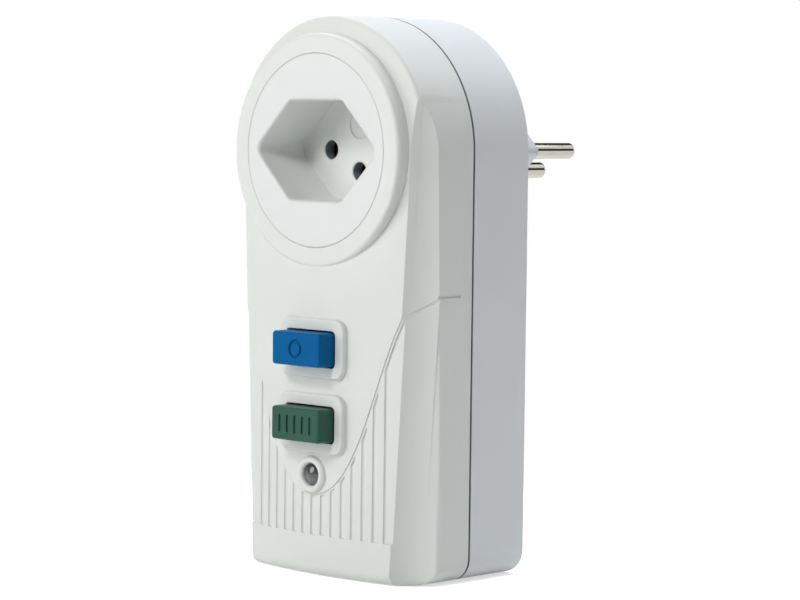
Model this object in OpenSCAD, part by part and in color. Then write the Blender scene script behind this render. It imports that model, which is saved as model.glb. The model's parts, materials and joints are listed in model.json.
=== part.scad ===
// Residual-current adapter plug: arched two-part housing with a recessed three-hole socket on the
// front, a three-pin plug on the back, and a residual-current trip with test and reset buttons.
// Millimetres. The base stands on Z = 0, the socket faces -Y and the pins point along +Y.

/* [Housing] */
// Width across the side walls, also the diameter of the arched top
housing_w = 62.8; // [60:0.1:70]
// Height of the socket axis above the base
socket_h = 99.2; // [90:0.1:112]
// Depth from the face of the socket boss to the rear wall
housing_d = 39.8; // [36:0.1:48]
// Depth of the joint between the two covers
parting_d = 20.6; // [19.8:0.1:21.6]
// Wall thickness of both covers
wall = 2.2; // [1.6:0.1:2.6]
// Radius of the two lower corners, seen from the front
corner_r = 5.8; // [3:0.1:9]
// Open shadow line between the covers
seam_gap = 0.55; // [0.2:0.05:0.8]
// Height of the locating tongue of the rear cover
tongue_h = 2; // [1:0.1:3]
// Thickness of the locating tongue
tongue_t = 1.2; // [0.8:0.1:1.8]
// Rounding of the rear edge
rear_edge_r = 0.9; // [0.4:0.1:1.8]

/* [Front face] */
// Radius of the crowned face
crown_r = 115; // [95:1:160]
// Depth of the crown's middle behind the socket boss
crown_set = 0.35; // [0.1:0.05:0.8]
// Width of the crowned face at the socket axis
plateau_w = 55.2; // [53:0.1:56.4]
// Change of the face's half width per millimetre of height
plateau_taper = 0.05; // [0.03:0.005:0.065]
// Radius of the scooped sides
cove_r = 16; // [14:1:30]
// Angle at which a scooped side leaves the face
cove_angle = 64; // [54:1:66]
// Radius of the shoulder between a scooped side and the side wall, at the base
shoulder_r = 3; // [1.5:0.1:4]
// Rounding of the scooped sides' lower edge
cove_edge_r = 1.2; // [0.6:0.1:2]
// Rounding of the arch's front edge
dome_edge_r = 1.6; // [0.6:0.1:2.4]
// Rounding of the face's lower edge
base_edge_r = 2.6; // [1:0.1:4]
// Radius of the round socket boss
boss_r = 27.1; // [26.6:0.1:27.5]
// Rounding of the boss's rim
boss_edge_r = 1; // [0.4:0.1:1.6]

/* [Ribs and line] */
// Number of raised ribs
rib_count = 14; // [8:2:14]
// Rib spacing
rib_pitch = 3.12; // [2.6:0.02:3.4]
// Gap between ribs
rib_gap = 1.4; // [0.8:0.1:1.8]
// Depth of the gaps between the ribs
rib_depth = 0.4; // [0.2:0.05:0.7]
// Height of the ribs' lower ends above the base
rib_low = 9.7; // [7:0.1:15]
// Width of the line across the scooped sides
line_w = 0.7; // [0.4:0.1:1]
// Depth of the line, and of the ribbed field below the raised shield that it bounds
line_depth = 0.25; // [0.15:0.05:0.5]
// Distance from the line to the ribs' upper ends
line_margin = 0.5; // [0.3:0.1:1.5]
// Height of the line's lowest point
line_low = 19.2; // [17.5:0.1:19.4]
// Height at which the line reaches the face's edge
line_edge_h = 61.6; // [58:0.1:64]
// Height of the line's level run on the side wall
line_side_h = 66.5; // [63:0.1:70]
// Depth at which the line ends on the side wall
line_end = 16.6; // [12:0.1:18.5]

/* [Buttons] */
// Width of each button
button_w = 15.7; // [12:0.1:17]
// Height of each button
button_h = 7.8; // [6:0.1:9]
// Reach of the buttons in front of the socket boss
button_reach = 5.5; // [3.5:0.1:8]
// Rounding of the buttons' upright edges
button_r = 0.8; // [0.4:0.1:1.5]
// Gap around each button
button_gap = 0.4; // [0.2:0.05:0.5]
// Height of the test button's middle above the base
test_h = 53.4; // [52:0.1:55]
// Height of the reset button's middle above the base
reset_h = 35.9; // [34.5:0.1:37.5]
// Travel of the test button, up to the stud that its leaf touches
test_travel = 2; // [1:0.1:2.4]
// Travel of the reset button and of the contacts that it closes
reset_travel = 2.5; // [1.5:0.1:2.8]
// Width of the raised frames
frame_w = 21.4; // [19:0.1:23]
// Height of the raised frames
frame_h = 13.9; // [11.6:0.1:15]
// Corner radius of the raised frames
frame_r = 3; // [1:0.1:4]
// Height of the frames in front of the socket boss
frame_proud = 0.7; // [0.3:0.1:1.5]

/* [Lamp] */
// Height of the lamp above the base
lamp_h = 23.8; // [22.5:0.1:25]
// Radius of the lamp's lens
lamp_r = 2.5; // [1.5:0.1:2.8]
// Radius of the raised ring around the lamp
lamp_ring_r = 4.4; // [3.6:0.1:4.8]
// Height of the ring in front of the socket boss
lamp_proud = 0.7; // [0.3:0.1:1.5]

/* [Socket and plug] */
// Distance between the two live pins
pin_pitch = 19; // [17:0.1:20]
// Offset of the earth pin below the live pins
earth_drop = 5; // [4.6:0.1:5.2]
// Pin diameter
pin_d = 4; // [3.4:0.1:4.2]
// Free length of the pins
pin_l = 19; // [15:0.1:22]
// Diameter of the holes in the socket floor
hole_d = 4.6; // [4.4:0.1:5]
// Width of the hexagonal recess at its floor
recess_w = 40; // [38:0.1:40.4]
// Height of the hexagonal recess at its floor
recess_h = 23; // [21:0.1:23.4]
// Depth of the recess
recess_d = 14.9; // [13:0.1:15.4]
// Corner radius of the recess
recess_r = 2.5; // [0.5:0.1:3]
// Rounded lead-in around the recess's mouth
recess_lead = 1.2; // [0.6:0.1:1.5]
// Thickness of the socket floor
floor_t = 3; // [2.4:0.1:3.4]
// Width of the insert's visible rim beyond the recess's corners
insert_rim = 2.5; // [1.4:0.1:2.8]
// Radius of the insert's hidden flange
flange_r = 25; // [24.6:0.1:25.2]
// Width of the plug nose
nose_w = 34.4; // [33:0.1:36]
// Height of the plug nose
nose_h = 19.6; // [18.6:0.1:20.6]
// Length of the plug nose behind the rear wall
nose_l = 21; // [16:0.1:24]
// Rounding of the nose's edges
nose_r = 1.2; // [0.5:0.1:2]

/* [Inside] */
// Width of the circuit board
board_w = 37; // [35:0.1:38]
// Thickness of the circuit board
board_t = 1.6; // [1:0.1:2]
// Radius of the insulated wires
wire_r = 0.8; // [0.5:0.1:0.9]
// Wire thickness of the springs
spring_wire = 0.6; // [0.4:0.05:0.7]
// Travel of the trip plunger
trip_travel = 1.5; // [0.5:0.1:2]
// Outer radius of the summation transformer
core_r = 11; // [9:0.1:12]

/* [Hidden] */

$fn = 64;
// Facets of a hull's children, of the arch and of the large radii
hull_fn = 32;
arch_fn = 128;
crown_fn = 240;
// Overlap that keeps joined shapes clear of coincident faces, and the reach of cuts past a face
eps = 0.05;
over = 1;
// Clearance of fixed pieces that slide together, of screws in their holes, and of moving pieces
fit = 0.15;
thread_gap = 0.05;
run = 0.3;
// A rounded edge is drawn this much larger than a tangent one, so that it crosses its two faces
edge_ease = 1.03;

// Housing
half_w = housing_w / 2;
face_half = plateau_w / 2;
crown_y = crown_set + crown_r;
front_end = parting_d - seam_gap / 2;
rear_start = parting_d + seam_gap / 2;
rear_inner = housing_d - wall;
nose_end = housing_d + nose_l;
pin_tip = nose_end + pin_l;
// The origin lies under the middle of the whole depth, from button faces to pin tips
frame_y = (button_reach - pin_tip) / 2;
earth_z = socket_h - earth_drop;
nose_wall = 2;
nose_floor = 4;
nose_corner_r = 1.5;

// Screws that join the covers, from the back
screw_r = 1.5;
head_r = 2.9;
head_h = 2.2;
head_seat = housing_d - 8;
post_wall = 1.5;
post_r = head_r + post_wall;
post_sink = 1.4;
post_x = half_w - wall - post_r + post_sink;
post_low_z = 8.5;
post_high_z = socket_h - 14;

// Small screws of the board and of the contact retainer
small_r = 1;
small_l = 7;
small_head_r = 2;
small_head_h = 1.4;
small_bore = small_r + thread_gap;

// Socket insert and its contacts
insert_r = recess_w / 2 + insert_rim;
insert_gap = 0.06;
flange_y = wall;
flange_t = 2;
cup_t = 1.8;
cup_end = recess_d + floor_t;
sleeve_l = 10;
sleeve_r = 3;
sleeve_end = cup_end + sleeve_l;
tube_r = sleeve_r + fit + 1.05;
contact_t = 0.8;
retainer_y = sleeve_end + contact_t;
retainer_t = 1.6;
retainer_w = 30;
retainer_x = 5.5;
retainer_z = 6.5;
retainer_post_r = 2.2;
tab_l = 8.4;
tab_w = 3;
slot_w = 0.5;
slot_l = 6;
pin_grip = 0.1;
mark_r = 3.3;
mark_z = 6.1;
mark_depth = 0.15;
// Posts of the rear cover that hold the insert's flange
hold_x = 12;
hold_up = 19.5;
hold_r = 2.2;

// Depths behind the face, from the buttons back to the board
collar_l = 1;
collar_y = crown_set + crown_r - sqrt(crown_r * crown_r - button_w * button_w / 4) + wall + collar_l;
lip = 1;
lip_t = 1.5;
lip_y = collar_y + run;
stem_r = 2;
spring_r = stem_r + spring_wire + 0.6;
spring_turns = 6;
spring_spare = 1.5;
spring_start = lip_y + lip_t;
deck_y = spring_start + spring_turns * spring_wire + reset_travel + spring_spare;
deck_t = 1.8;
deck_end = deck_y + deck_t;
leaf_gap = 1.7;
leaf_y = deck_end + leaf_gap;
leaf_t = 0.4;
leaf_w = 4;
leaf_l = 9;
leaf_low = test_h - 5;
carrier_gap = 1.2;
carrier_y = deck_end + carrier_gap;
carrier_t = 3;
carrier_h = 6;
carrier_end = carrier_y + carrier_t;
hub_r = 3;
hub_l = 2.4;
pole_x = 13;
arm_end = pole_x + 3;
strip_t = 0.6;
strip_w = 3;
strip_l = 14;
tip_t = 0.8;
tip_r = 1.3;
tip_z = 4.6;
tip_y = carrier_end + strip_t + tip_t;
closed_gap = 0.2;
fixed_y = tip_y + reset_travel + closed_gap;
fixed_l = 1.7;
stud_up = 2.5;
stud_y = leaf_y + leaf_t + test_travel + closed_gap;

// Board and what it carries
board_y = fixed_y + fixed_l;
board_rear = board_y + board_t;
board_low = 8;
board_top = socket_h - 25.2;
deck_w = 2 * pole_x + 10;
deck_top = test_h + 7;
deck_low = reset_h - 9;
leg = 2.2;
coil_z = reset_h - 21.4;
coil_stand = 6.3;
coil_y = board_y - coil_stand;
coil_x = -17.3;
coil_l = 14.4;
coil_r = 5;
coil_wind = 0.6;
cheek_t = 1;
yoke_t = 1.2;
plunger_r = 2;
plunger_gap = 1;
hook_x = 5.6;
hook_t = 1.4;
hook_w = 4.8;
catch_x = hook_x + 4;
catch_w = 2.4;
catch_up = 9;
catch_h = 2;
finger_t = 1.6;
plunger_spring_r = plunger_r + spring_wire + 0.4;
opening_spring_r = 2.2;
board_post_r = 3;
board_post_x = 15;
board_post_in = 4;
board_posts = [[board_post_x, board_low + board_post_in],
               [-board_post_x, coil_z + coil_r + board_post_r + 0.5],
               [board_post_x, board_top - board_post_in],
               [-board_post_x, board_top - board_post_in]];
core_bore = 5;
core_edge = 1.5;
core_z = board_top - core_r - 1;
// Room behind the transformer for the two live wires
core_room = 3;
core_t = rear_inner - board_rear - core_room;
capacitor_size = [12, rear_inner - board_rear - 3.5, 6];
capacitor_x = -15;
capacitor_low = reset_h - 2;
varistor_r = 4.6;
varistor_t = 4;
varistor_x = 10;
chip_size = [8, 1.7, 5];
chip_low = lamp_h - 8;
resistor_r = 1.35;
resistor_l = 6.5;
resistor_cap_r = 1.5;
resistor_cap_l = 1.7;
resistor_x = 6;
resistor_z = test_h - 4.4;
lead_pitch = 2.54;
lead_r = 0.28;
lead_end = 1;
lamp_flange_r = lamp_r + 0.45;
lamp_sunk = 0.2;
lens_h = 0.8;
lens_r = (lamp_r * lamp_r + lens_h * lens_h) / (2 * lens_h);

// Pins
pin_tail = 7;
pin_tail_r = 1.4;
pin_collar_r = pin_d / 2 + 0.75;
pin_collar_t = 3;
// Radius of the thicker root that fills the hole in the nose
pin_root_r = pin_d / 2 + 0.3;
pin_tip_r = 1.2;
pin_back = nose_end - nose_floor - pin_tail;
pin_places = [[-pin_pitch / 2, socket_h], [pin_pitch / 2, socket_h], [0, earth_z]];

function unit(v) = v / norm(v);
// Depth of the crowned face at distance x from the middle
function crown_at(x) = crown_y - sqrt(crown_r * crown_r - x * x);
// Half width of the crowned face at height z above the base
function face_at(z) = face_half + plateau_taper * (z - socket_h);
// Centre of a scoop's circle at height z, and its depth at distance x from the middle
function cove_x(z) = face_at(z) + cove_r * sin(cove_angle);
function cove_y(z) = crown_at(face_at(z)) - cove_r * cos(cove_angle);
function cove_depth(x, z) = cove_y(z) + sqrt(cove_r * cove_r - pow(cove_x(z) - x, 2));
// Depths at which the hollows behind the scoops and behind the arch start
cove_back = cove_depth(half_w, 0) + wall;
dome_back = max(crown_at(half_w), cove_depth(half_w - wall, socket_h)) + wall;

module in_frame() {
    translate([0, frame_y, 0]) children();
}

// Flat shape in X and Z, given depth from y0 to y1
module extrude_y(y0, y1) {
    translate([0, y1, 0]) rotate([90, 0, 0]) linear_extrude(height = y1 - y0) children();
}

module cyl_y(r, y0, y1) {
    translate([0, y0, 0]) rotate([-90, 0, 0]) cylinder(r = r, h = y1 - y0);
}

// Profile in radius and depth, turned about the Y axis
module turn_y() {
    rotate([-90, 0, 0]) rotate_extrude() children();
}

// Straight loft between two flat outlines at depths y0 and y1
module loft_y(y0, y1) {
    hull() {
        extrude_y(y0, y0 + eps) children(0);
        extrude_y(y1 - eps, y1) children(1);
    }
}

module both_sides() {
    children();
    mirror([1, 0, 0]) children();
}

module rounded_rect(w, h, r) {
    square([w - 2 * r, h], center = true);
    square([w, h - 2 * r], center = true);
    for (x = [-1, 1], z = [-1, 1])
        translate([x * (w / 2 - r), z * (h / 2 - r)]) circle(r = r);
}

// A rounded edge is lofted in three steps; each runs between two shares of the edge's width
edge_steps = [[0, 0.4], [0.4, 0.7], [0.7, 1]];
function edge_depth(share) = share * share;
function edge_inset(share) = pow(1 - share, 2);

// Rounded front edge of a block with the outline w by h, from depth y to y + edge
module eased_front(y, edge, w, h, r) {
    for (step = edge_steps) {
        near = edge * edge_inset(step[0]);
        far = edge * edge_inset(step[1]);
        loft_y(y + edge * edge_depth(step[0]), y + edge * edge_depth(step[1]) + eps) {
            rounded_rect(w - 2 * near, h - 2 * near, max(r - near, eps), $fn = hull_fn);
            rounded_rect(w - 2 * far, h - 2 * far, max(r - far, eps), $fn = hull_fn);
        }
    }
}

// Arch outline, drawn smaller all round by inset
module arch_2d(inset) {
    r = half_w - inset;
    rc = max(corner_r - inset, 1);
    translate([0, socket_h]) circle(r = r, $fn = arch_fn);
    translate([-r, inset + rc]) square([2 * r, socket_h - inset - rc]);
    translate([-r + rc, inset]) square([2 * (r - rc), rc + eps]);
    for (x = [-1, 1])
        translate([x * (r - rc), inset + rc]) circle(r = rc);
}

// Outline with each corner replaced by an arc of radius r
arc_steps = 4;
function rounded(points, r) = [for (i = [0 : len(points) - 1])
    let (p = points[i], n = len(points),
         a = unit(points[(i + n - 1) % n] - p), b = unit(points[(i + 1) % n] - p),
         half = acos(a * b) / 2, c = p + unit(a + b) * r / sin(half),
         from = p + a * r / tan(half) - c, to = p + b * r / tan(half) - c,
         turn = sign(from[0] * to[1] - from[1] * to[0]) * (180 - 2 * half))
    for (k = [0 : arc_steps])
        c + r * [cos(atan2(from[1], from[0]) + turn * k / arc_steps),
                 sin(atan2(from[1], from[0]) + turn * k / arc_steps)]];

// Six-sided outline of the socket and plug, with its corners level with the live pins
module hex_2d(w, h, r) {
    flat = (w - h) / 2;
    corners = [[-w / 2, 0], [-flat, h / 2], [flat, h / 2], [w / 2, 0], [flat, -h / 2], [-flat, -h / 2]];
    polygon(rounded(corners, r));
}

module at_pins() {
    for (p = pin_places)
        translate([p[0], 0, p[1]]) children();
}

module at_posts() {
    for (x = [-post_x, post_x], z = [post_low_z, post_high_z])
        translate([x, 0, z]) children();
}

module at_board_posts() {
    for (p = board_posts)
        translate([p[0], 0, p[1]]) children();
}

module at_retainer_screws() {
    for (x = [-retainer_x, retainer_x])
        translate([x, 0, socket_h + retainer_z]) children();
}

// Places children's Z axis on the line from point p to point q
module along(p, q) {
    v = q - p;
    turn = atan2(v[1], v[0]);
    translate(p) rotate([0, acos(v[2] / norm(v)), turn]) rotate([0, 0, -turn]) children();
}

// Closed skin over rings of points, each ring with the same number of sides
module skin_rings(rings, sides) {
    last = (len(rings) - 1) * sides;
    skin = [for (i = [0 : len(rings) - 2], j = [0 : sides - 1])
        let (k = (j + 1) % sides, p = i * sides, q = p + sides)
        each [[p + j, p + k, q + k], [p + j, q + k, q + j]]];
    ends = [for (j = [1 : sides - 2])
        each [[0, j + 1, j], [last, last + j, last + j + 1]]];
    polyhedron([for (ring = rings) each ring], concat(skin, ends));
}

// Round wire through a list of points, with a ring of points square to the bisector at each bend
wire_sides = 8;
wire_ref = [0.6, 0.3, 0.74];
module wire(points, r) {
    last = len(points) - 1;
    rings = [for (i = [0 : last])
        let (before = i > 0 ? unit(points[i] - points[i - 1]) : unit(points[1] - points[0]),
             after = i < last ? unit(points[i + 1] - points[i]) : before,
             t = unit(before + after), u = unit(cross(t, wire_ref)), v = cross(t, u))
        [for (j = [0 : wire_sides - 1])
            points[i] + r * (cos(360 * j / wire_sides) * v + sin(360 * j / wire_sides) * u)]];
    skin_rings(rings, wire_sides);
}

// Helical spring along +Z from the origin
spring_sides = 6;
spring_steps = 10;
module coil_spring(r, turns, length) {
    count = turns * spring_steps;
    w = spring_wire / 2;
    rings = [for (i = [0 : count])
        let (a = 360 * i / spring_steps, z = w + (length - spring_wire) * i / count)
        [for (j = [0 : spring_sides - 1])
            let (b = 360 * j / spring_sides, d = r + w * cos(b))
            [d * cos(a), d * sin(a), z + w * sin(b)]]];
    skin_rings(rings, spring_sides);
}

module spring_y(y0, y1, z, r, turns) {
    translate([0, y0, z]) rotate([-90, 0, 0]) coil_spring(r, turns, y1 - y0);
}

// Pan-head screw along Y, with its head towards +Y from the seat at y
head_dome = 1.6;
module screw_y(y, shank_r, length, cap_r, cap_h) {
    translate([0, y, 0]) turn_y() {
        translate([0, -length]) square([shank_r, length + eps]);
        difference() {
            intersection() {
                square([cap_r, cap_h]);
                translate([0, cap_h - cap_r * head_dome]) circle(r = cap_r * head_dome);
            }
            translate([0, cap_h / 2]) square([cap_r / 3, cap_h]);
        }
    }
}

// Front cover

// Crowned section of the straight part, in X and depth
module crown_section() {
    intersection() {
        translate([-half_w, 0]) square([housing_w, front_end]);
        translate([0, crown_y]) circle(r = crown_r, $fn = crown_fn);
    }
}

// Half section of the arched top, in radius and depth, with its rounded front edge
module dome_section() {
    edge_x = half_w - dome_edge_r;
    edge_y = crown_y - sqrt(pow(crown_r - dome_edge_r, 2) - edge_x * edge_x);
    difference() {
        intersection() {
            square([half_w, front_end]);
            translate([0, crown_y]) circle(r = crown_r, $fn = crown_fn);
        }
        difference() {
            translate([edge_x, 0]) square([dome_edge_r + over, edge_y]);
            translate([edge_x, edge_y]) circle(r = dome_edge_r * edge_ease);
        }
    }
}

// Tilted cylinder that scoops out one side, so that the scoop narrows towards the arch
scoop_fn = 180;
scoop_reach = 25;
module scoop() {
    lean_y = face_half * plateau_taper / crown_r;
    translate([cove_x(socket_h), cove_y(socket_h), socket_h])
        rotate([-atan(lean_y), atan(plateau_taper), 0])
            translate([0, 0, -socket_h - scoop_reach])
                cylinder(r = cove_r, h = socket_h + 2 * scoop_reach, $fn = scoop_fn);
}

// Cut that rounds the shoulder between scoop and side wall, full at the base and gone at the arch
module shoulder_cut() {
    r = shoulder_r;
    low_x = half_w - r;
    low_y = cove_y(0) + sqrt(pow(cove_r + r, 2) - pow(cove_x(0) - low_x, 2));
    to_scoop = unit([cove_x(0) - low_x, cove_y(0) - low_y]);
    tip = [half_w, cove_depth(half_w, socket_h)];
    tip_normal = unit([cove_x(socket_h), cove_y(socket_h)] - tip);
    high = tip - r * unit([1, 0] + tip_normal);
    reach = r + over;
    along([low_x, low_y, 0], [high[0], high[1], socket_h])
        translate([0, 0, -over]) linear_extrude(height = socket_h + half_w / 2) difference() {
            polygon([[0, 0], [reach, 0], [reach, -reach], reach * to_scoop]);
            circle(r = r * edge_ease);
        }
}

// Cut that rounds a scoop's lower edge
module scoop_foot_cut() {
    translate([cove_x(0), cove_y(0), 0]) rotate_extrude($fn = scoop_fn) difference() {
        translate([cove_r - over, -over]) square([cove_edge_r + over, cove_edge_r + over]);
        translate([cove_r + cove_edge_r, cove_edge_r]) circle(r = cove_edge_r * edge_ease);
    }
}

// Cut that rounds the lower edge of the crowned face's field
module face_foot_cut() {
    round_x = crown_r - line_depth - base_edge_r;
    translate([0, crown_y, 0]) rotate_extrude($fn = crown_fn) difference() {
        translate([round_x, -over]) square([base_edge_r + 2 * over, base_edge_r + over]);
        translate([round_x, base_edge_r]) circle(r = base_edge_r);
    }
}

// Edge of the raised shield on the face: a smooth curve from the middle out to the face's edge
line_x = face_at(line_edge_h);
// Level run at the curve's low end, and the way of its last stretch up to the edge
line_level = 14;
line_rise = [8, 15.4];
line_points = [[0, line_low], [line_level, line_low], [line_x, line_edge_h] - line_rise,
               [line_x, line_edge_h]];
line_steps = 24;
function bezier(p, t) = pow(1 - t, 3) * p[0] + 3 * t * pow(1 - t, 2) * p[1]
    + 3 * t * t * (1 - t) * p[2] + pow(t, 3) * p[3];
function bezier_dir(p, t) = pow(1 - t, 2) * (p[1] - p[0]) + 2 * t * (1 - t) * (p[2] - p[1])
    + t * t * (p[3] - p[2]);
// Point on the line at t, moved by d towards the ribs
function line_at(t, d) = let (v = unit(bezier_dir(line_points, t)))
    bezier(line_points, t) + d * [v[1], -v[0]];
function line_run(d) = [for (i = [0 : line_steps]) line_at(i / line_steps, d)];

// Field outside the shield, down past the base
module field_2d() {
    polygon(concat(line_run(0), [[half_w, line_edge_h], [half_w, -over], [0, -over]]));
}

module line_cove_2d() {
    inner = line_points[3];
    outer = [half_w + over, line_side_h];
    v = unit(outer - inner);
    n = line_w / 2 * [v[1], -v[0]];
    polygon([inner + n - v, outer + n, outer - n, inner - n - v]);
}

// Gaps between the ribs: the ribbed part of the field, without the ribs
module panel_2d() {
    edge = line_run(line_margin);
    rib_w = rib_pitch - rib_gap;
    difference() {
        polygon(concat(edge, [[half_w, edge[line_steps][1]], [half_w, rib_low], [0, rib_low]]));
        for (i = [0 : rib_count / 2 - 1])
            translate([(i + 0.5) * rib_pitch - rib_w / 2, rib_low - over]) square([rib_w, socket_h]);
    }
}

// Everything of a flat outline that lies less than depth under the crowned face
module sunk_in_face(depth) {
    difference() {
        both_sides() extrude_y(-over, cove_back / 2) children();
        translate([0, crown_y, -over]) cylinder(r = crown_r - depth, h = socket_h, $fn = crown_fn);
    }
}

module face_relief() {
    side_y = cove_depth(half_w, line_side_h);
    sunk_in_face(line_depth) field_2d();
    sunk_in_face(line_depth + rib_depth) panel_2d();
    both_sides() intersection() {
        extrude_y(-over, cove_back) line_cove_2d();
        translate([cove_x(line_side_h), cove_y(line_side_h), 0])
            cylinder(r = cove_r + line_depth, h = socket_h, $fn = scoop_fn);
    }
    both_sides() translate([half_w - line_depth, side_y - line_w, line_side_h - line_w / 2])
        cube([over, line_end - side_y + line_w, line_w]);
}

module front_body() {
    difference() {
        union() {
            intersection() {
                linear_extrude(height = socket_h) crown_section();
                extrude_y(-over, front_end) arch_2d(0);
            }
            translate([0, 0, socket_h]) rotate([-90, 0, 0]) rotate([0, 0, 180])
                rotate_extrude(angle = 180, $fn = arch_fn) dome_section();
        }
        both_sides() {
            scoop();
            shoulder_cut();
            scoop_foot_cut();
        }
        face_foot_cut();
        face_relief();
    }
}

module socket_boss() {
    depth = crown_at(boss_r) + over;
    translate([0, 0, socket_h]) turn_y() {
        square([boss_r - boss_edge_r, depth]);
        translate([0, boss_edge_r]) square([boss_r, depth - boss_edge_r]);
        translate([boss_r - boss_edge_r, boss_edge_r]) circle(r = boss_edge_r);
    }
}

frame_edge = 0.8;
module button_frame(z) {
    translate([0, 0, z]) {
        extrude_y(frame_edge - frame_proud, collar_y) rounded_rect(frame_w, frame_h, frame_r, $fn = hull_fn);
        eased_front(-frame_proud, frame_edge, frame_w, frame_h, frame_r);
    }
}

// Half-round bead around the lamp's hole
module lamp_ring() {
    bead = (lamp_ring_r - lamp_r - fit) / 2;
    translate([0, 0, lamp_h]) turn_y() {
        translate([lamp_ring_r - bead, bead - lamp_proud]) circle(r = bead);
        translate([0, bead - lamp_proud]) square([lamp_ring_r, collar_y + lamp_proud - bead]);
    }
}

module front_cavity() {
    top = socket_h - flange_r - wall;
    extrude_y(cove_back, parting_d) arch_2d(wall);
    intersection() {
        translate([0, crown_y, 0]) cylinder(r = crown_r - wall, h = socket_h, $fn = crown_fn);
        extrude_y(0, cove_back + eps) polygon([
            [-face_at(wall) + wall, wall], [face_at(wall) - wall, wall],
            [face_at(top) - wall, top], [-face_at(top) + wall, top]]);
    }
    translate([0, 0, socket_h]) cyl_y(flange_r + fit, flange_y, cove_back + eps);
    intersection() {
        translate([0, 0, socket_h]) cyl_y(half_w - wall, dome_back, cove_back + eps);
        translate([-half_w, 0, socket_h + wall]) cube([housing_w, housing_d, half_w]);
    }
}

module front_cover() color("WhiteSmoke") in_frame() difference() {
    union() {
        difference() {
            union() {
                front_body();
                socket_boss();
            }
            front_cavity();
        }
        button_frame(test_h);
        button_frame(reset_h);
        lamp_ring();
        intersection() {
            at_posts() cyl_y(post_r, cove_back - wall, parting_d);
            extrude_y(0, parting_d) arch_2d(wall / 2);
        }
    }
    translate([0, 0, socket_h]) cyl_y(insert_r + insert_gap, -over, flange_y + eps);
    for (z = [test_h, reset_h])
        translate([0, 0, z]) extrude_y(-frame_proud - over, collar_y + over)
            rounded_rect(button_w + 2 * button_gap, button_h + 2 * button_gap, button_r + button_gap);
    translate([0, 0, lamp_h]) cyl_y(lamp_r + fit, -lamp_proud - over, collar_y + over);
    at_posts() cyl_y(screw_r + thread_gap, cove_back, parting_d + over);
}

// Rear cover

// Half section of the rear cover's rim, in radius and depth
module rear_section(r) {
    depth = housing_d - rear_start;
    translate([0, rear_start]) square([r - rear_edge_r, depth]);
    translate([0, rear_start]) square([r, depth - rear_edge_r]);
    translate([r - rear_edge_r, housing_d - rear_edge_r]) circle(r = rear_edge_r);
}

module rear_body() {
    rc = corner_r;
    translate([0, 0, socket_h]) rotate([-90, 0, 0]) rotate([0, 0, 180])
        rotate_extrude(angle = 180, $fn = arch_fn) rear_section(half_w);
    translate([0, 0, rc]) linear_extrude(height = socket_h - rc) both_sides() rear_section(half_w);
    for (x = [-1, 1])
        translate([x * (half_w - rc), 0, rc]) turn_y() rear_section(rc);
    translate([-half_w + rc, 0, rc]) rotate([0, 90, 0])
        linear_extrude(height = housing_w - 2 * rc) rear_section(rc);
}

module nose() {
    translate([0, 0, socket_h]) {
        extrude_y(rear_inner, nose_end - nose_r) hex_2d(nose_w, nose_h, nose_corner_r);
        loft_y(nose_end - nose_r - eps, nose_end) {
            hex_2d(nose_w, nose_h, nose_corner_r);
            hex_2d(nose_w - 2 * nose_r, nose_h - 2 * nose_r, nose_corner_r);
        }
    }
}

module rear_cover() color("WhiteSmoke") in_frame() difference() {
    tongue_y = front_end - tongue_h;
    tongue_root = rear_start + tongue_h;
    union() {
        difference() {
            union() {
                rear_body();
                extrude_y(tongue_y, rear_start + over) arch_2d(wall + fit);
            }
            extrude_y(tongue_y - over, tongue_root) arch_2d(wall + fit + tongue_t);
            at_posts() cyl_y(post_r + fit, tongue_y - over, parting_d);
            extrude_y(tongue_root - eps, rear_inner) arch_2d(wall);
        }
        nose();
        intersection() {
            at_posts() cyl_y(post_r, parting_d, housing_d - wall / 2);
            extrude_y(0, housing_d) arch_2d(wall / 2);
        }
        at_board_posts() cyl_y(board_post_r, board_rear, rear_inner + eps);
        for (x = [-hold_x, hold_x])
            translate([x, 0, socket_h + hold_up]) cyl_y(hold_r, flange_y + flange_t, rear_inner + eps);
    }
    translate([0, 0, socket_h]) extrude_y(rear_inner - over, nose_end - nose_floor)
        hex_2d(nose_w - 2.4 * nose_wall, nose_h - 2 * nose_wall, nose_corner_r / 2);
    at_pins() cyl_y(pin_root_r + fit / 2, nose_end - nose_floor - over, nose_end + over);
    at_posts() cyl_y(screw_r + fit, parting_d - over, housing_d);
    at_posts() cyl_y(head_r + run, head_seat, housing_d + over);
    at_board_posts() cyl_y(small_bore, board_rear - over, board_rear + small_l);
}

module housing_screws() color("Silver") in_frame()
    at_posts() screw_y(head_seat, screw_r, head_seat - cove_back - over, head_r, head_h);

// Socket

// Rounded lead-in at the recess's mouth
module recess_mouth() {
    for (step = edge_steps) {
        near = 2 * recess_lead * edge_inset(step[0]);
        far = 2 * recess_lead * edge_inset(step[1]);
        loft_y(recess_lead * edge_depth(step[0]) - eps, recess_lead * edge_depth(step[1]) + eps) {
            hex_2d(recess_w + near, recess_h + near, recess_r);
            hex_2d(recess_w + far, recess_h + far, recess_r);
        }
    }
}

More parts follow.
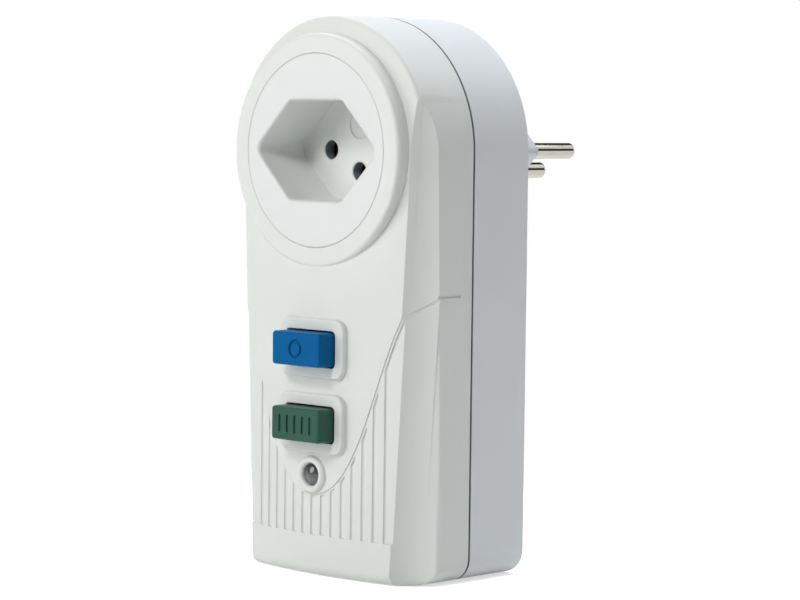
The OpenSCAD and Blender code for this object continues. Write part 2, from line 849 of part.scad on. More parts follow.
module socket_insert() color("White") in_frame() difference() {
    union() {
        translate([0, 0, socket_h]) {
            cyl_y(insert_r, 0, flange_y + eps);
            cyl_y(flange_r, flange_y, flange_y + flange_t);
            extrude_y(flange_y + flange_t - eps, cup_end)
                hex_2d(recess_w + 2.2 * cup_t, recess_h + 2 * cup_t, recess_r + cup_t);
        }
        at_pins() cyl_y(tube_r, cup_end - eps, sleeve_end);
        at_retainer_screws() cyl_y(retainer_post_r, cup_end - eps, retainer_y);
    }
    translate([0, 0, socket_h]) {
        extrude_y(-over, recess_d) hex_2d(recess_w, recess_h, recess_r);
        recess_mouth();
    }
    translate([0, 0, socket_h + mark_z]) cyl_y(mark_r, recess_d - over, recess_d + mark_depth);
    at_pins() {
        cyl_y(hole_d / 2, recess_d - over, cup_end + eps);
        cyl_y(sleeve_r + fit, cup_end, sleeve_end + over);
    }
    at_retainer_screws() cyl_y(small_bore, retainer_y + retainer_t - small_l - over, retainer_y + over);
}

// Sprung sleeve for one pin, with a collar and a solder tab that points along angle
module contact(angle) {
    difference() {
        union() {
            cyl_y(sleeve_r, cup_end + fit, sleeve_end + eps);
            cyl_y(tube_r - fit, sleeve_end, retainer_y);
            rotate([0, angle, 0]) translate([0, sleeve_end, -tab_w / 2]) cube([tab_l, contact_t, tab_w]);
        }
        cyl_y(pin_d / 2 + pin_grip, cup_end - over, retainer_y + over);
        for (a = [45, 135])
            rotate([0, a, 0]) translate([-tube_r, cup_end - over, -slot_w / 2])
                cube([2 * tube_r, slot_l + over, slot_w]);
    }
}

module contact_line() color("Gold") in_frame()
    translate([-pin_pitch / 2, 0, socket_h]) contact(180);

module contact_neutral() color("Gold") in_frame()
    translate([pin_pitch / 2, 0, socket_h]) contact(0);

module contact_earth() color("Gold") in_frame()
    translate([0, 0, earth_z]) contact(90);

module contact_retainer() color("DimGray") in_frame() difference() {
    end = retainer_y + retainer_t;
    translate([0, 0, socket_h]) extrude_y(retainer_y, end) hex_2d(retainer_w, recess_h, recess_r);
    at_pins() cyl_y(pin_root_r + fit, retainer_y - over, end + over);
    at_retainer_screws() cyl_y(small_r + fit, retainer_y - over, end + over);
}

module retainer_screws() color("Silver") in_frame()
    at_retainer_screws() screw_y(retainer_y + retainer_t, small_r, small_l, small_head_r, small_head_h);

// Plug

module pin() {
    seat = nose_end - nose_floor;
    turn_y() {
        translate([0, nose_end - eps]) square([pin_d / 2, pin_l - pin_tip_r + eps]);
        translate([0, seat - eps]) square([pin_root_r, nose_floor + eps]);
        translate([0, seat - pin_collar_t]) square([pin_collar_r, pin_collar_t]);
        translate([0, seat - pin_tail]) square([pin_tail_r, pin_tail]);
        translate([0, pin_tip - 2 * pin_tip_r]) square([pin_d / 2 - pin_tip_r, 2 * pin_tip_r]);
        intersection() {
            translate([pin_d / 2 - pin_tip_r, pin_tip - pin_tip_r]) circle(r = pin_tip_r);
            translate([0, pin_tip - pin_tip_r]) square([pin_d, pin_tip_r]);
        }
    }
}

module pin_line() color("Silver") in_frame() translate([-pin_pitch / 2, 0, socket_h]) pin();

module pin_neutral() color("Silver") in_frame() translate([pin_pitch / 2, 0, socket_h]) pin();

module pin_earth() color("Silver") in_frame() translate([0, 0, earth_z]) pin();

// Buttons and lamp

button_edge = 0.6;
module button(z, stem_end) {
    translate([0, 0, z]) {
        extrude_y(button_edge - button_reach, lip_y + eps)
            rounded_rect(button_w, button_h, button_r, $fn = hull_fn);
        eased_front(-button_reach, button_edge, button_w, button_h, button_r);
        extrude_y(lip_y, spring_start) rounded_rect(button_w + 2 * lip, button_h + 2 * lip, button_r);
        cyl_y(stem_r, spring_start - eps, stem_end);
    }
}

module test_button() color("RoyalBlue") in_frame() button(test_h, leaf_y - run);

module reset_button() color("DarkSlateGray") in_frame() button(reset_h, carrier_y - hub_l - run);

module test_spring() color("Silver") in_frame()
    spring_y(spring_start + eps, deck_y - eps, test_h, spring_r, spring_turns);

module reset_spring() color("Silver") in_frame()
    spring_y(spring_start + eps, deck_y - eps, reset_h, spring_r, spring_turns);

module indicator_lamp() color("Gray", 0.8) in_frame() translate([0, 0, lamp_h]) turn_y() {
    front = lamp_sunk - lamp_proud;
    translate([0, front + lens_r]) intersection() {
        circle(r = lens_r);
        translate([0, -lens_r]) square([lamp_r, lens_h + eps]);
    }
    translate([0, front + lens_h]) square([lamp_r, collar_y + collar_l - front - lens_h]);
    translate([0, collar_y]) square([lamp_flange_r, collar_l]);
}

module at_leads() {
    for (x = [-lead_pitch / 2, lead_pitch / 2])
        translate([x, 0, lamp_h]) children();
}

module lamp_leads() color("Silver") in_frame()
    at_leads() cyl_y(lead_r, collar_y + collar_l, board_rear + lead_end);

// Electronics

module circuit_board() color("DarkGreen") in_frame() difference() {
    translate([-board_w / 2, board_y, board_low]) cube([board_w, board_t, board_top - board_low]);
    translate([0, 0, core_z]) cyl_y(core_bore - fit, board_y - over, board_rear + over);
    at_board_posts() cyl_y(small_r + run, board_y - over, board_rear + over);
    at_leads() cyl_y(lead_r + fit, board_y - over, board_rear + over);
}

module board_screws() color("Silver") in_frame()
    at_board_posts() translate([0, board_y, 0]) rotate([0, 0, 180])
        screw_y(0, small_r, small_l, small_head_r, small_head_h);

module mechanism_frame() color("LightGray") in_frame() {
    difference() {
        translate([-deck_w / 2, deck_y, deck_low]) cube([deck_w, deck_t, deck_top - deck_low]);
        translate([0, 0, test_h]) cyl_y(stem_r + run, deck_y - over, deck_end + over);
        translate([0, 0, reset_h]) cyl_y(hub_r + run, deck_y - over, deck_end + over);
    }
    for (x = [-deck_w / 2, deck_w / 2 - leg], z = [deck_low, test_h - leg])
        translate([x, deck_end - eps, z]) cube([leg, board_y - deck_end + eps, leg]);
}

module contact_carrier() color("Ivory") in_frame() {
    translate([0, 0, reset_h]) {
        cyl_y(hub_r, carrier_y - hub_l, carrier_y + eps);
        translate([-arm_end, carrier_y, -carrier_h / 2]) cube([2 * arm_end, carrier_t, carrier_h]);
    }
    translate([catch_x, carrier_y, coil_z + catch_up])
        cube([catch_w, carrier_t, reset_h - coil_z - catch_up]);
}

module moving_contacts() color("Peru") in_frame()
    for (x = [-pole_x, pole_x])
        translate([x, 0, reset_h]) {
            translate([-strip_w / 2, carrier_end, -strip_l / 2]) cube([strip_w, strip_t, strip_l]);
            for (z = [-tip_z, tip_z])
                translate([0, 0, z]) cyl_y(tip_r, carrier_end + strip_t - eps, tip_y);
        }

// Contact stud on the board, with its face at depth y
module stud(x, y, z) {
    translate([x, 0, z]) {
        cyl_y(tip_r, y, board_y - strip_t + eps);
        translate([-strip_w / 2, board_y - strip_t, -strip_w / 2]) cube([strip_w, strip_t, strip_w]);
    }
}

module fixed_contacts() color("Peru") in_frame() {
    for (x = [-pole_x, pole_x], z = [-tip_z, tip_z])
        stud(x, fixed_y, reset_h + z);
    stud(0, stud_y, test_h + stud_up);
}

opening_turns = 4;
module opening_spring() color("Silver") in_frame()
    spring_y(carrier_end + eps, board_y - eps, reset_h, opening_spring_r, opening_turns);

module at_coil(x) {
    translate([x, coil_y, coil_z]) rotate([0, 90, 0]) children();
}

module trip_coil() color("DarkOrange") in_frame() at_coil(coil_x + yoke_t) difference() {
    length = coil_l - 2 * yoke_t;
    union() {
        cylinder(r = coil_r - coil_wind, h = length);
        for (z = [0, length - cheek_t])
            translate([0, 0, z]) cylinder(r = coil_r, h = cheek_t);
    }
    translate([0, 0, -over]) cylinder(r = plunger_r + run, h = coil_l + over);
}

module coil_yoke() color("SlateGray") in_frame() difference() {
    front = coil_y - coil_r - yoke_t;
    translate([coil_x, front, coil_z - coil_r]) union() {
        for (x = [0, coil_l - yoke_t])
            translate([x, 0, 0]) cube([yoke_t, board_y - front, 2 * coil_r]);
        cube([coil_l, yoke_t, 2 * coil_r]);
    }
    at_coil(coil_x + yoke_t + over) cylinder(r = plunger_r + run, h = coil_l);
}

module trip_plunger() color("LightSteelBlue") in_frame() {
    tail = coil_x + yoke_t + trip_travel + plunger_gap;
    at_coil(tail) cylinder(r = plunger_r, h = hook_x - tail + eps);
    translate([hook_x, coil_y - hook_w / 2, coil_z - hook_w / 2])
        cube([hook_t, hook_w, hook_w / 2 + catch_up + catch_h]);
    translate([hook_x, coil_y - hook_w / 2, coil_z + catch_up])
        cube([catch_x - hook_x - run, finger_t, catch_h]);
}

plunger_turns = 5;
module plunger_spring() color("Silver") in_frame() at_coil(coil_x + coil_l + eps)
    coil_spring(plunger_spring_r, plunger_turns, hook_x - coil_x - coil_l - 2 * eps);

module test_leaf() color("Gold") in_frame() translate([-leaf_w / 2, leaf_y, leaf_low]) {
    cube([leaf_w, leaf_t, leaf_l]);
    cube([leaf_w, board_y - leaf_y, leaf_t]);
}

module test_resistor() color("Tan") in_frame()
    translate([resistor_x, board_y - resistor_cap_r, resistor_z]) rotate([0, 90, 0]) {
        cylinder(r = resistor_r, h = resistor_l);
        for (z = [0, resistor_l - resistor_cap_l])
            translate([0, 0, z]) cylinder(r = resistor_cap_r, h = resistor_cap_l);
    }

module core_transformer() color("DarkKhaki") in_frame() translate([0, board_rear, core_z]) turn_y() {
    translate([core_bore + core_edge, 0]) square([core_r - core_bore - 2 * core_edge, core_t]);
    translate([core_bore, core_edge]) square([core_r - core_bore, core_t - 2 * core_edge]);
    for (x = [core_bore + core_edge, core_r - core_edge], y = [core_edge, core_t - core_edge])
        translate([x, y]) circle(r = core_edge);
}

module varistor() color("SteelBlue") in_frame()
    translate([varistor_x, 0, reset_h]) cyl_y(varistor_r, board_rear, board_rear + varistor_t);

module capacitor() color("Goldenrod") in_frame()
    translate([capacitor_x, board_rear, capacitor_low]) cube(capacitor_size);

module control_chip() color("Black") in_frame()
    translate([-chip_size[0] / 2, board_rear, chip_low]) cube(chip_size);

// Wires, along points chosen by hand between the places that they join

core_back = board_rear + core_t + 1;
module supply_wire(side) {
    wire([[side * pin_pitch / 2, pin_back, socket_h],
          [side * 8.5, rear_inner + 3, socket_h - 1],
          [side * 7, core_back, socket_h - 3],
          [side * 6, core_back, socket_h - 11],
          [side * 2.2, core_back, core_z + 3],
          [side * 2.2, core_back - 2, core_z],
          [side * 2.2, board_y - 3, core_z],
          [side * 9, board_y - 1.5, core_z],
          [side * 10, board_y, core_z]], wire_r);
}

module line_wire() color("SaddleBrown") in_frame() supply_wire(-1);

module neutral_wire() color("RoyalBlue") in_frame() supply_wire(1);

module earth_wire() color("YellowGreen") in_frame()
    wire([[0, sleeve_end, earth_z - tab_l + 1],
          [0, sleeve_end - 2, earth_z - tab_l - 2],
          [0, rear_inner - 1.8, earth_z - tab_l - 2],
          [0, rear_inner - 1.8, earth_z - 1],
          [0, pin_back, earth_z]], wire_r);

module load_wires() color("DimGray") in_frame()
    for (side = [-1, 1])
        wire([[side * (pin_pitch / 2 + tab_l - 1.2), sleeve_end, socket_h],
              [side * (pin_pitch / 2 + tab_l - 1), sleeve_end - 3, socket_h - 4],
              [side * (pin_pitch / 2 + tab_l - 1), board_y - 2, board_top + 4],
              [side * 9.5, board_y - 2, board_top - 3],
              [side * 9.5, board_y, board_top - 6]], wire_r);

front_cover();
rear_cover();
housing_screws();
socket_insert();
contact_line();
contact_neutral();
contact_earth();
contact_retainer();
retainer_screws();
pin_line();
pin_neutral();
pin_earth();
test_button();
reset_button();
test_spring();
reset_spring();
indicator_lamp();
lamp_leads();
circuit_board();
board_screws();
mechanism_frame();
contact_carrier();
moving_contacts();
fixed_contacts();
opening_spring();
trip_coil();
coil_yoke();
trip_plunger();
plunger_spring();
test_leaf();
test_resistor();
core_transformer();
varistor();
capacitor();
control_chip();
line_wire();
neutral_wire();
earth_wire();
load_wires();
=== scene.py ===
# %% [markdown]
# # A plug-in residual-current adapter
#
# The object is a white moulded adapter that stands on its lower end: a recessed socket on the front,
# a three-pin plug on the back, a blue and a green push button, and a small lamp. Its solids come from
# a CAD model, so Blender adds what CAD can't: finishes, fine rounds and marks, copies of the springs,
# light and a camera.

# %% Load the solids
import json
from math import cos, radians, sin

import bmesh
import bpy
from mathutils import Matrix, Vector

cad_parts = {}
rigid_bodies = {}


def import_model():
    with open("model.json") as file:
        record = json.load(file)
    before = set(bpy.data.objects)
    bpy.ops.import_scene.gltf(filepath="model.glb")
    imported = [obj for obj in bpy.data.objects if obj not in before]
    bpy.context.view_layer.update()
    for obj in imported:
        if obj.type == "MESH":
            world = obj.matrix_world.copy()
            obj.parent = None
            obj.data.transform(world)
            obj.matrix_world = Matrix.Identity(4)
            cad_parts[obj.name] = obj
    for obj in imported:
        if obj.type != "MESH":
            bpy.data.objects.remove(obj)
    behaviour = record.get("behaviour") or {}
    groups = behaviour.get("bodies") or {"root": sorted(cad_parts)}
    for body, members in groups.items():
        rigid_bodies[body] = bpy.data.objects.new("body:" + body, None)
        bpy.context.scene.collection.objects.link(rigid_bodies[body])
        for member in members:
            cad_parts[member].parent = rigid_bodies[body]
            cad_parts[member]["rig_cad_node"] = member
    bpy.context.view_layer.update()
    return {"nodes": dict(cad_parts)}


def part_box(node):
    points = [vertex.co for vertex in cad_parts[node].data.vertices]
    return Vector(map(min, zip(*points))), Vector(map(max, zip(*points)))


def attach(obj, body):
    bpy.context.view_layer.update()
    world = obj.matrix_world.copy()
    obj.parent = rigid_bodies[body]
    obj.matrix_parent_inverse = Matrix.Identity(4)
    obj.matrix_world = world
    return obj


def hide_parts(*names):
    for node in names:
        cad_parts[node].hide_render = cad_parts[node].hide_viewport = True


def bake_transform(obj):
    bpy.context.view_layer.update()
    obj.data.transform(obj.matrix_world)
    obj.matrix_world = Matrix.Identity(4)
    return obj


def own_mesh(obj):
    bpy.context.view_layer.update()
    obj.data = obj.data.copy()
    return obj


MM = 0.001
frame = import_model()
nodes = frame["nodes"]

# %% [markdown]
# ## Camera
#
# The photo was taken from the front right, a little above the socket, with a long lens. A camera was
# fitted to points whose real distances are known, such as the pins and holes. It could be placed by
# eye, but then the slant of the ribs and the narrow side wall would never agree at the same time.

# %% Camera
YAW, PITCH, ROLL = radians(44.10), radians(3.84), radians(0.667)
DISTANCE = 621.7 * MM
TARGET = Vector((28.2, -37.15, 66.1)) * MM
IMAGE_WIDTH = 800
FOCAL_PIXELS = 2764

back = Vector((sin(YAW) * cos(PITCH), -cos(YAW) * cos(PITCH), sin(PITCH)))
level_right = Vector((cos(YAW), sin(YAW), 0))
level_up = back.cross(level_right)
right = cos(ROLL) * level_right + sin(ROLL) * level_up
up = back.cross(right)

camera_data = bpy.data.cameras.new("photo_camera")
camera_data.sensor_width = 36
camera_data.lens = FOCAL_PIXELS / IMAGE_WIDTH * camera_data.sensor_width
camera_data.clip_start = 0.01
camera = bpy.data.objects.new("photo_camera", camera_data)
bpy.context.scene.collection.objects.link(camera)
turned = Matrix((right, up, back)).transposed().to_4x4()
camera.matrix_world = Matrix.Translation(TARGET + back * DISTANCE) @ turned
bpy.context.scene.camera = camera
print("lens", round(camera_data.lens, 1), "mm at", [round(x / MM) for x in camera.location], "mm")

# %% [markdown]
# ## Helpers for materials
#
# Colours are written as the hex values that a colour picker shows, and one function turns them into
# the linear values that Blender calculates with. A second one adds a node, sets its inputs and links it.
# Every pattern reads Object coordinates, which are metres in the CAD frame, so a scale of one over a
# size in millimetres gives a pattern of that real size.

# %% Material helpers
def colour(hex_value):
    channels = [int(hex_value[i:i + 2], 16) / 255 for i in (1, 3, 5)]
    return [c / 12.92 if c <= 0.04045 else ((c + 0.055) / 1.055) ** 2.4 for c in channels] + [1]


def add(tree, kind, settings=None, **inputs):
    """Adds a node. Settings are its properties; inputs are sockets by name, or by number as _0, _1."""
    node = tree.nodes.new(kind)
    for name, value in (settings or {}).items():
        setattr(node, name, value)
    for name, value in inputs.items():
        socket = node.inputs[int(name[1:])] if name[0] == "_" else node.inputs[name.replace("_", " ")]
        if isinstance(value, bpy.types.NodeSocket):
            tree.links.new(value, socket)
        else:
            socket.default_value = value
    return node


def new_material(name):
    material = bpy.data.materials.new(name)
    material.use_nodes = True
    material.node_tree.nodes.clear()
    return material, material.node_tree


def finish_with(material, *names):
    for name in names:
        nodes[name].data.materials.clear()
        nodes[name].data.materials.append(material)
    print(material.name, "on", ", ".join(names))


# %% [markdown]
# ## Moulded plastic
#
# Nearly all that shows is injection-moulded plastic. The tool leaves a fine spark-eroded grain, the
# melt leaves a slow change of tone, and no edge is quite sharp. A picture could give all three, but
# noise needs no file and has no seams. One function makes the finish, because covers, buttons, wires
# and chip differ only in colour, gloss and grain. The grain is drawn coarser than the real 0.05 mm,
# which would be lost between the pixels.

# %% Moulded finish
FLOW_MM = 14
GRAIN_STRENGTH = 0.35
SHEEN_SPREAD = 0.05
PLASTIC_IOR = 1.53


def moulded(name, light, dark, roughness, grain_mm, relief_mm, edge_mm, specular=0.5):
    material, tree = new_material(name)
    place = add(tree, "ShaderNodeTexCoord").outputs["Object"]
    flow = add(tree, "ShaderNodeTexNoise", Vector=place, Scale=1 / (FLOW_MM * MM), Detail=2.0)
    tone = add(tree, "ShaderNodeMix", {"data_type": "RGBA"}, Factor=flow.outputs["Fac"],
               _6=colour(dark), _7=colour(light))
    grain = add(tree, "ShaderNodeTexNoise", Vector=place, Scale=1 / (grain_mm * MM), Detail=3.0)
    sheen = add(tree, "ShaderNodeMapRange", Value=grain.outputs["Fac"],
                To_Min=roughness - SHEEN_SPREAD, To_Max=roughness + SHEEN_SPREAD)
    edge = add(tree, "ShaderNodeBevel", {"samples": 8}, Radius=edge_mm * MM)
    relief = add(tree, "ShaderNodeBump", Strength=GRAIN_STRENGTH, Distance=relief_mm * MM,
                 Height=grain.outputs["Fac"], Normal=edge.outputs["Normal"])
    shader = add(tree, "ShaderNodeBsdfPrincipled", Base_Color=tone.outputs[2],
                 Roughness=sheen.outputs["Result"], IOR=PLASTIC_IOR, Specular_IOR_Level=specular,
                 Normal=relief.outputs["Normal"])
    add(tree, "ShaderNodeOutputMaterial", Surface=shader.outputs["BSDF"])
    return material


# %% [markdown]
# ## White housing
#
# Both covers are ABS, matt white and very slightly green in the photo, the rear one a touch cooler.
# They could share one material, but two shots of plastic from two moulds rarely match exactly. The
# joint between them is a narrow gap that gets hardly any light, so whatever lies at its depth is
# painted darker, as painted shade. Light alone would need far more bounces to show the same thin dark
# line.

# %% Painted shade in hollows
def paint_shade_between(material, first, last, dark):
    """Paints shade, as a darker colour, on what lies between two depths."""
    tree = material.node_tree
    shader = tree.nodes["Principled BSDF"]
    tone = shader.inputs["Base Color"].links[0].from_socket
    place = add(tree, "ShaderNodeTexCoord").outputs["Object"]
    depth = add(tree, "ShaderNodeSeparateXYZ", Vector=place).outputs["Y"]
    painted_shade_mask = add(tree, "ShaderNodeMath", {"operation": "COMPARE"}, _0=depth, _1=(first + last) / 2,
                 _2=(last - first) / 2)
    shaded = add(tree, "ShaderNodeMix", {"data_type": "RGBA"}, Factor=painted_shade_mask.outputs[0],
                 _6=tone, _7=colour(dark))
    tree.links.new(shaded.outputs[2], shader.inputs["Base Color"])


# %% Housing finish
# Spark-eroded ABS: the grain breaks every reflection, so the eye sees a broad, soft sheen.
# The seam's depth is painted darker: painted shade for a narrow gap that light hardly reaches.
SEAM = -16.55 * MM
SEAM_HALF = 0.29 * MM
SEAM_PAINTED_SHADE = "#8E9498"
SPARK_ERODED = {"roughness": 0.46, "grain_mm": 0.35, "relief_mm": 0.012}
front_white = moulded("abs_white_spark_eroded", "#E1E4DF", "#DDE0DB", edge_mm=0.25, **SPARK_ERODED)
rear_white = moulded("abs_white_cool_spark_eroded", "#E0E3E3", "#DCDFE0", edge_mm=0.6, **SPARK_ERODED)
for material, cover in ((front_white, "front_cover"), (rear_white, "rear_cover")):
    paint_shade_between(material, SEAM - SEAM_HALF, SEAM + SEAM_HALF, SEAM_PAINTED_SHADE)
    finish_with(material, cover)

# %% [markdown]
# ## Socket insert
#
# The insert is PBT, a tougher plastic from a smoother mould with well rounded edges. The three contact
# holes look dark grey because hardly any light gets in, so all that lies behind the floor of the recess
# is painted darker, as painted shade, and the CAD model puts that floor at a known place.

# %% Socket finish
# Smooth PBT: a tighter sheen than on the covers, with hardly any grain.
# All that lies behind the recess floor is painted darker: painted shade for holes that light hardly
# reaches.
RECESS_FLOOR = -22.25 * MM
FLOOR_SKIN = 0.3 * MM
HOLES_END = 0 * MM
HOLE_PAINTED_SHADE = "#7C8A90"
insert_white = moulded("pbt_white_smooth", "#E1E4E1", "#DEE1DE", roughness=0.40, grain_mm=0.5,
                       relief_mm=0.006, edge_mm=0.8)
paint_shade_between(insert_white, RECESS_FLOOR + FLOOR_SKIN, HOLES_END, HOLE_PAINTED_SHADE)
finish_with(insert_white, "socket_insert")

# %% [markdown]
# ## Copies of CAD nodes
#
# A CAD node arrives as loose triangles and stays as it is. Where a piece needs a finer shape, a copy of
# it is welded into one skin, worked on as by hand, and then stands for the node. The shape could also be
# drawn anew, but a copy keeps every size of the CAD model.

# %% Copy of a CAD node
WELD = 0.002 * MM
SMOOTH_ANGLE = radians(35)


def welded_copy(node, name, weld=WELD):
    bpy.ops.object.select_all(action="DESELECT")
    nodes[node].select_set(True)
    bpy.context.view_layer.objects.active = nodes[node]
    bpy.ops.object.duplicate()
    piece = bpy.context.active_object
    piece.name = name
    piece.parent = None
    del piece["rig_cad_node"]
    bpy.ops.object.mode_set(mode="EDIT")
    bpy.ops.mesh.select_all(action="SELECT")
    bpy.ops.mesh.remove_doubles(threshold=weld)
    bpy.ops.object.mode_set(mode="OBJECT")
    bpy.ops.mesh.customdata_custom_splitnormals_clear()
    bpy.ops.object.shade_smooth_by_angle(angle=SMOOTH_ANGLE)
    return piece


def even_faces(piece, smooth_angle=SMOOTH_ANGLE):
    """Shades flat faces flat and rounded edges smooth, also where long thin triangles meet."""
    bpy.ops.mesh.customdata_custom_splitnormals_clear()
    bpy.ops.object.shade_smooth_by_angle(angle=smooth_angle)
    even = piece.modifiers.new("even_faces", "WEIGHTED_NORMAL")
    even.keep_sharp = True
    bpy.ops.object.modifier_apply(modifier=even.name)


# %% [markdown]
# ## Rim of the recess
#
# The rim where a plug goes in is rounded, and the CAD model builds that round from a few flat steps.
# More steps would make the solid heavy, so a copy shades them smooth over a wide angle, which makes one
# soft rim of them. Steps that nearly touch are welded first, or each would keep a line of its own.

# %% Smooth rim
STEP_WELD = 0.03 * MM
ROUND_ANGLE = radians(65)
insert_piece = welded_copy("socket_insert", "socket_insert_smooth", STEP_WELD)
even_faces(insert_piece, ROUND_ANGLE)
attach(insert_piece, "housing")
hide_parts("socket_insert")
print(insert_piece.name, len(insert_piece.data.polygons), "faces")

# %% [markdown]
# ## Ribs
#
# The ribs on the lower front meet their ground in a small fillet, which is why they shade so softly. The
# shader could fake it, but a real fillet also shows in the exported mesh. So the copy's triangles are
# joined to flat faces, the inner corners along the ribs are picked by their place, and a bevel rounds
# them.

# %% Places of the ribs
RIB_PITCH, RIB_WIDTH, RIBS = 3.12 * MM, 1.72 * MM, 14
RIB_LOW, RIB_HIGH = 9.6 * MM, 62 * MM
RIB_FRONT = -30 * MM
NEAR = 0.01 * MM
rib_middles = [(i - RIBS / 2 + 0.5) * RIB_PITCH for i in range(RIBS)]
rib_sides = [middle + side * RIB_WIDTH / 2 for middle in rib_middles for side in (-1, 1)]
print(RIBS, "ribs from", round(rib_sides[0] / MM, 2), "to", round(rib_sides[-1] / MM, 2), "mm")


def on_rib(a, b):
    """Tells whether an edge between two points runs up the side of a rib."""
    low, high = sorted((a.z, b.z))
    on_side = abs(a.x - b.x) < NEAR and min(abs(a.x - x) for x in rib_sides) < NEAR
    return on_side and RIB_LOW < low < high < RIB_HIGH and max(a.y, b.y) < RIB_FRONT


# %% Filleted ribs
FILLET = 0.38 * MM
FLAT = radians(0.5)
INNER_CORNER = -0.9
cover_piece = welded_copy("front_cover", "front_cover_filleted")
bpy.ops.object.mode_set(mode="EDIT")
bpy.ops.mesh.select_all(action="SELECT")
bpy.ops.mesh.dissolve_limited(angle_limit=FLAT)
bpy.ops.mesh.select_all(action="DESELECT")
shape = bmesh.from_edit_mesh(cover_piece.data)
for edge in shape.edges:
    inner = len(edge.link_faces) == 2 and edge.calc_face_angle_signed() < INNER_CORNER
    edge.select_set(inner and on_rib(*(v.co for v in edge.verts)))
bmesh.update_edit_mesh(cover_piece.data)
print(cover_piece.name, sum(e.select for e in shape.edges), "edges to fillet")
bpy.ops.mesh.bevel(offset=FILLET, segments=4, affect="EDGES")
bpy.ops.object.mode_set(mode="OBJECT")
even_faces(cover_piece)
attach(cover_piece, "housing")
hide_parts("front_cover")

# %% [markdown]
# ## Button colours
#
# The buttons are through-coloured ABS with a satin face, which scatters most of its highlight, so the
# colours stay deep even under soft light. That is why the specular level is set low here: at the usual
# level a white room would wash the blue out.

# %% Button finishes
# Satin ABS: deep, even colour with a faint, broad light along the edges.
SATIN = {"roughness": 0.42, "grain_mm": 0.4, "relief_mm": 0.008, "edge_mm": 0.35}
finish_with(moulded("abs_blue_satin", "#00609A", "#005B92", specular=0.06, **SATIN), "test_button")
finish_with(moulded("abs_green_satin", "#2F5A4C", "#2B5447", specular=0.2, **SATIN), "reset_button")

# %% [markdown]
# ## Marks on the buttons
#
# A sunk mark lets a finger tell the buttons apart. A bump map could suggest it, but the mark would then
# have no depth in other views, so it is cut for real: a cutter is modelled by hand, and a Boolean takes
# it out of a copy of the button. The marks are plain shapes: a ring for testing and five strokes for
# resetting.

# %% Cutters for the marks
MARK_DEPTH = 0.4 * MM
CLEAR = 0.3 * MM
STROKE = 0.75 * MM
STROKE_ROUND = 0.45 * STROKE
FACING_FRONT = (radians(90), 0, 0)


def face_middle(node):
    low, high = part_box(node)
    return Vector((0, low.y - CLEAR, (low.z + high.z) / 2))


def deepen():
    """Extrudes the selected flat outline back into the button."""
    bpy.ops.mesh.select_all(action="SELECT")
    bpy.ops.mesh.extrude_region_move(TRANSFORM_OT_translate={"value": (0, CLEAR + MARK_DEPTH, 0)})
    bpy.ops.mesh.select_all(action="SELECT")
    bpy.ops.mesh.normals_make_consistent(inside=False)
    bpy.ops.object.mode_set(mode="OBJECT")
    return bpy.context.active_object


def ring_cutter(middle, radius):
    bpy.ops.object.select_all(action="DESELECT")
    bpy.ops.mesh.primitive_circle_add(vertices=48, radius=radius, fill_type="NGON", location=middle,
                                      rotation=FACING_FRONT)
    bpy.ops.object.transform_apply(location=True, rotation=True, scale=True)
    bpy.ops.object.mode_set(mode="EDIT")
    bpy.ops.mesh.select_all(action="SELECT")
    bpy.ops.mesh.inset(thickness=STROKE)
    bpy.ops.mesh.delete(type="FACE")
    return deepen()


def stroke_cutter(middle, count, pitch, height):
    bpy.ops.object.select_all(action="DESELECT")
    start = middle - Vector(((count - 1) / 2 * pitch, 0, 0))
    bpy.ops.mesh.primitive_plane_add(size=1, location=start, rotation=FACING_FRONT)
    bpy.context.active_object.scale = (STROKE, height, 1)
    bpy.ops.object.transform_apply(location=True, rotation=True, scale=True)
    bpy.ops.object.mode_set(mode="EDIT")
    bpy.ops.mesh.select_all(action="SELECT")
    bpy.ops.mesh.bevel(offset=STROKE_ROUND, segments=5, affect="VERTICES")
    cutter = deepen()
    row = cutter.modifiers.new("row", "ARRAY")
    row.use_relative_offset, row.use_constant_offset = False, True
    row.constant_offset_displace, row.count = (pitch, 0, 0), count
    bpy.ops.object.modifier_apply(modifier=row.name)
    return cutter


def cut_away(piece, cutter):
    bpy.ops.object.select_all(action="DESELECT")
    piece.select_set(True)
    bpy.context.view_layer.objects.active = piece
    cut = piece.modifiers.new("mark", "BOOLEAN")
    cut.operation, cut.solver, cut.object = "DIFFERENCE", "EXACT", cutter
    bpy.ops.object.modifier_apply(modifier=cut.name)
    even_faces(piece)
    bpy.data.objects.remove(cutter)
    print(piece.name, len(piece.data.polygons), "faces after the cut")


# %% Engraved buttons
RING_RADIUS = 2.2 * MM
STROKES, STROKE_PITCH, STROKE_HEIGHT = 5, 2.5 * MM, 4.2 * MM
test_piece = welded_copy("test_button", "test_button_engraved")
cut_away(test_piece, ring_cutter(face_middle("test_button"), RING_RADIUS))
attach(test_piece, "test_button")
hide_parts("test_button")

reset_piece = welded_copy("reset_button", "reset_button_engraved")
cut_away(reset_piece, stroke_cutter(face_middle("reset_button"), STROKES, STROKE_PITCH, STROKE_HEIGHT))
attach(reset_piece, "reset_button")
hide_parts("reset_button")
